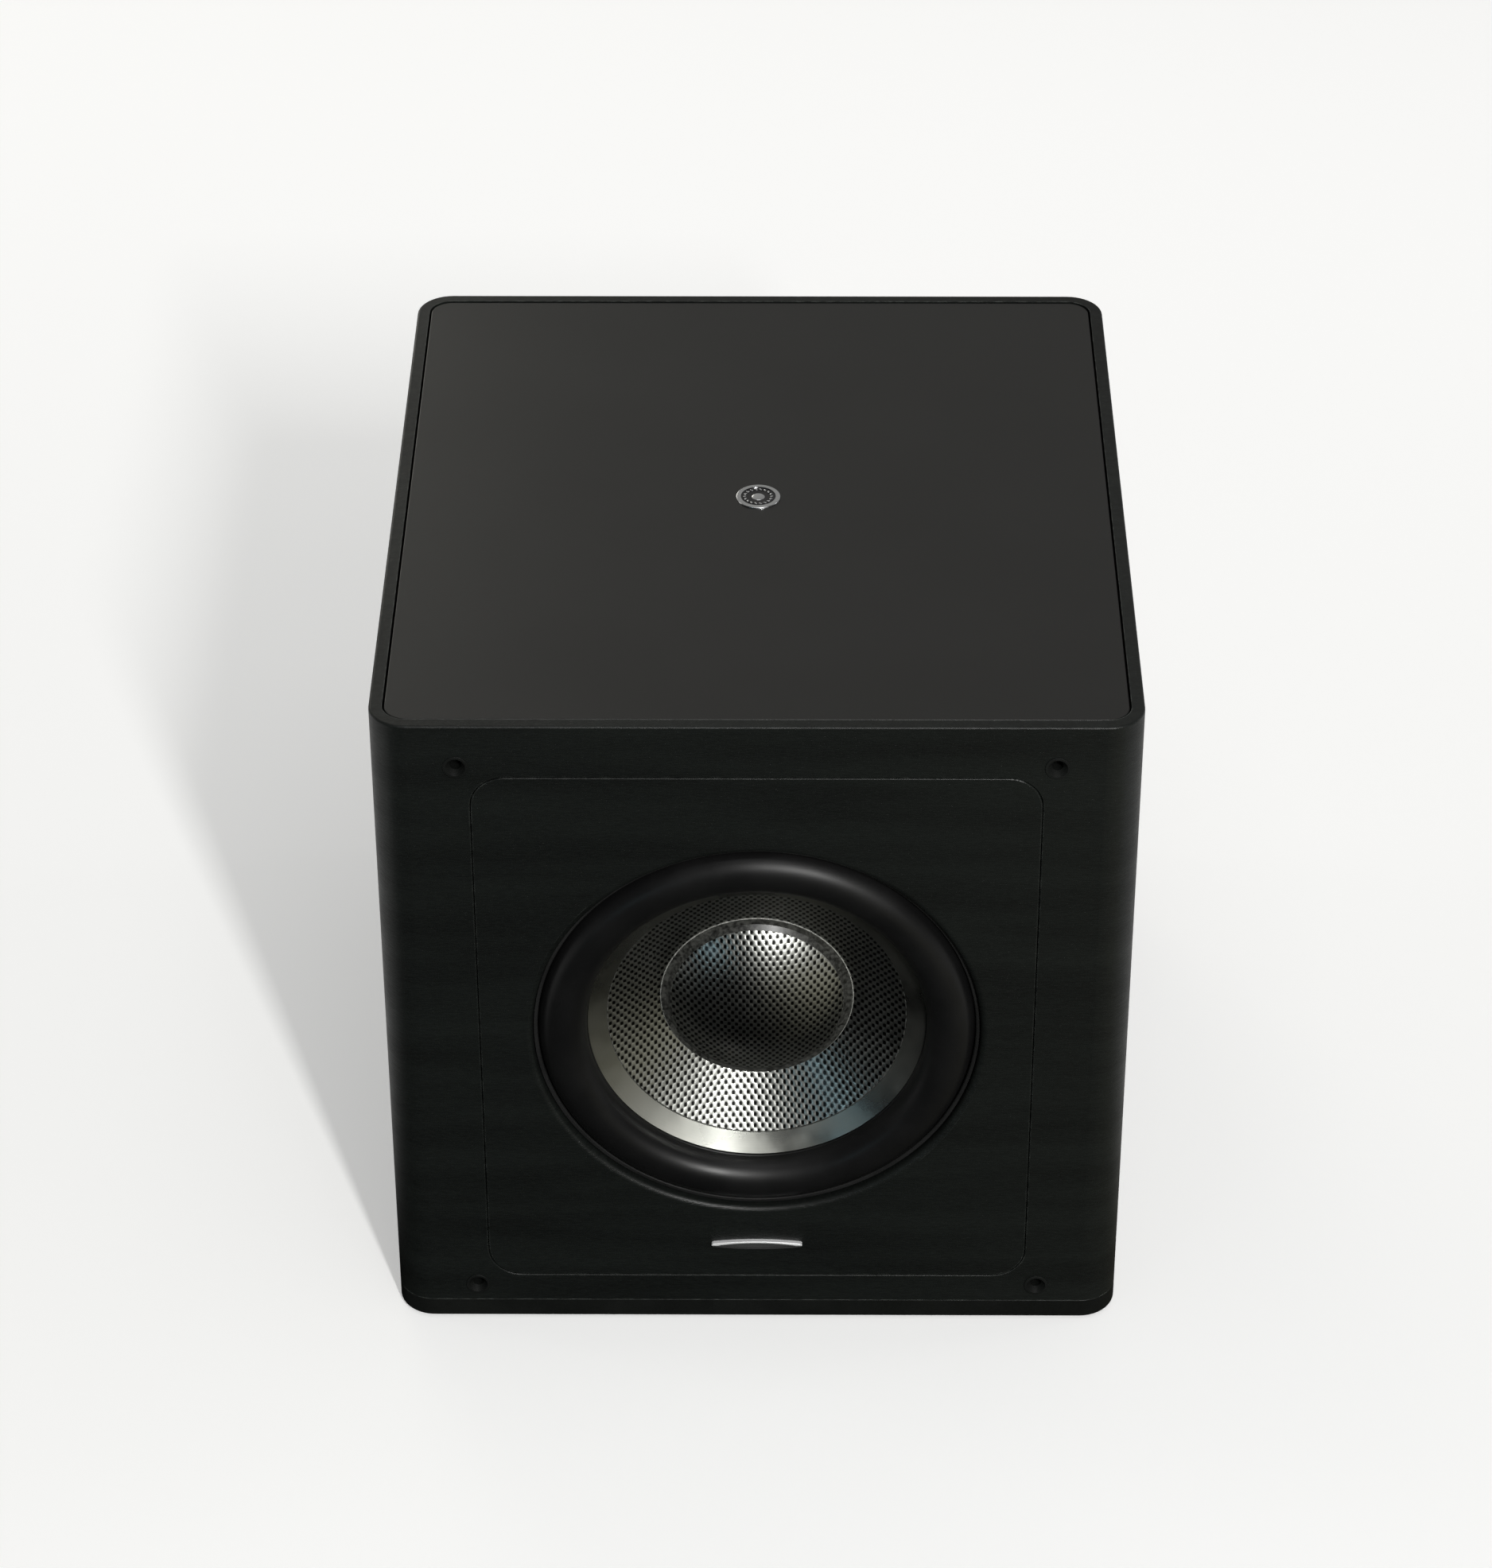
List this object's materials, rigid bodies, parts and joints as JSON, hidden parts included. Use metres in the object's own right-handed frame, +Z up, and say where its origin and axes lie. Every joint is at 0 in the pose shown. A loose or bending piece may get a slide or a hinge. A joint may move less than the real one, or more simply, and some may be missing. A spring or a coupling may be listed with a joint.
{
  "type": "subwoofer",
  "caption": "Closed-box active subwoofer: rounded black cabinet with inset top, front driver with woven cone and metal ring, plate amplifier at the back.",
  "frame": {"origin": "middle of the cabinet's footprint, on the surface that the feet stand on", "axes": "+Z up, the driver faces -Y, +Y towards the amplifier at the back"},
  "size_m": [0.4, 0.469, 0.4003],
  "materials": {
    "grained_black": "fine horizontal grain, satin black",
    "raw_board": "plain fibreboard",
    "plinth_satin": "smooth satin black",
    "top_panel": "smooth dark grey, semi gloss",
    "polished_metal": "polished",
    "black_enamel": "gloss enamel",
    "black_plastic": "moulded, satin",
    "steel_screws": "black oxide",
    "foot_rubber": "matt rubber",
    "felt": "grey felt",
    "cast_frame": "textured powder coat",
    "surround_rubber": "satin rubber",
    "woven_cone": "woven fibre under clear resin",
    "satin_aluminium": "satin anodised",
    "copper_wire": "enamelled copper",
    "copper_lead": "braided copper",
    "spider_cloth": "resin treated cotton",
    "plated_steel": "zinc plated",
    "ferrite": "sintered ferrite",
    "terminal_board": "phenolic board with tinned tabs",
    "wire_sleeve": "insulated wire",
    "amp_panel": "black anodised",
    "cover_steel": "galvanised sheet",
    "circuit_board": "solder mask",
    "capacitor_sleeve": "heat shrunk sleeve",
    "plated_brass": "gold plated",
    "jack_plastic": "coloured insulator",
    "status_lens": "diffused lens",
    "knob_plastic": "moulded, satin",
    "fuse_glass": "clear glass"
  },
  "bodies": {
    "cabinet": {"cabinet_shell": "grained_black", "front_baffle": "grained_black", "top_board": "raw_board", "bottom_board": "raw_board", "window_brace": "raw_board", "plinth": "plinth_satin", "top_panel": "top_panel", "medallion_ring": "polished_metal", "badge_bar": "polished_metal", "medallion_disc": "black_enamel", "badge_face": "black_enamel", "grille_sockets": "black_plastic", "iec_inlet": "black_plastic", "power_switch": "black_plastic", "potentiometers": "black_plastic", "slide_switch": "black_plastic", "wood_screws": "steel_screws", "driver_screws": "steel_screws", "amp_screws": "steel_screws", "board_spacers": "steel_screws", "rubber_feet": "foot_rubber", "magnet_boot": "foot_rubber", "amp_gasket": "foot_rubber", "driver_gasket": "foot_rubber", "trim_ring": "foot_rubber", "lining_pads": "felt", "driver_basket": "cast_frame", "surround": "surround_rubber", "tinsel_leads": "copper_lead", "spider": "spider_cloth", "top_plate": "plated_steel", "pole_yoke": "plated_steel", "magnet_rings": "ferrite", "driver_terminals": "terminal_board", "driver_cable": "wire_sleeve", "amp_plate": "amp_panel", "heatsink": "amp_panel", "amp_cover": "cover_steel", "amp_board": "circuit_board", "control_board": "circuit_board", "transformer": "black_plastic", "power_transistors": "black_plastic", "filter_capacitors": "capacitor_sleeve", "rca_shells": "plated_brass", "iec_pins": "plated_brass", "rca_cores": "jack_plastic", "status_led": "status_lens"},
    "cone": {"cone": "woven_cone", "dust_cap": "woven_cone", "cone_ring": "satin_aluminium", "coil_former": "satin_aluminium", "voice_coil": "copper_wire"},
    "level": {"level_knob": "knob_plastic", "level_shaft": "plated_steel"},
    "lowpass": {"lowpass_knob": "knob_plastic", "lowpass_shaft": "plated_steel"},
    "phase": {"phase_lever": "knob_plastic"},
    "rocker": {"power_rocker": "knob_plastic"},
    "drawer": {"fuse_drawer": "black_plastic", "fuse": "fuse_glass"}
  },
  "joints": [
    {"name": "cone_travel", "type": "slide", "parent": "cabinet", "child": "cone", "axis": [0, -1, 0], "range_m": [-0.012, 0.012], "stiffness_N_per_m": 3000, "deforming": ["surround", "spider", "tinsel_leads"]},
    {"name": "level_turn", "type": "hinge", "parent": "cabinet", "child": "level", "pos_m": [0.06, 0.225, 0.31], "axis": [0, 1, 0], "range_deg": [-150, 150]},
    {"name": "lowpass_turn", "type": "hinge", "parent": "cabinet", "child": "lowpass", "pos_m": [0, 0.225, 0.31], "axis": [0, 1, 0], "range_deg": [-150, 150]},
    {"name": "phase_slide", "type": "slide", "parent": "cabinet", "child": "phase", "axis": [1, 0, 0], "range_m": [0, 0.006]},
    {"name": "rocker_tilt", "type": "hinge", "parent": "cabinet", "child": "rocker", "pos_m": [0, 0.2256, 0.092], "axis": [-1, 0, 0], "range_deg": [0, 20]},
    {"name": "drawer_pull", "type": "slide", "parent": "cabinet", "child": "drawer", "axis": [0, 1, 0], "range_m": [0, 0.014]}
  ]
}
